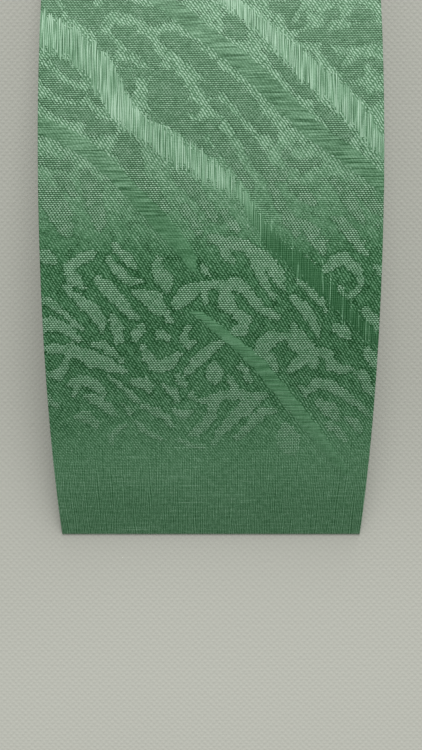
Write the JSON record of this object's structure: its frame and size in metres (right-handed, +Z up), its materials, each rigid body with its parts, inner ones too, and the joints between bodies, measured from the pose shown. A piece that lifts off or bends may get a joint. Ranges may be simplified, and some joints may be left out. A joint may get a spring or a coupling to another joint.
{
  "type": "vertical blind slat",
  "caption": "Vertical blind slat: a strip of green jacquard cloth with square cut ends, lying face up in its own shallow arch.",
  "frame": {"origin": "middle of the slat, on the surface that its two cut ends rest on", "axes": "+Y along the slat to its upper end, +X across it, +Z up out of its patterned face"},
  "size_m": [0.089, 0.1924, 0.0247],
  "materials": {
    "cloth": "satin jacquard"
  },
  "bodies": {
    "root": {"slat": "cloth"}
  },
  "joints": []
}
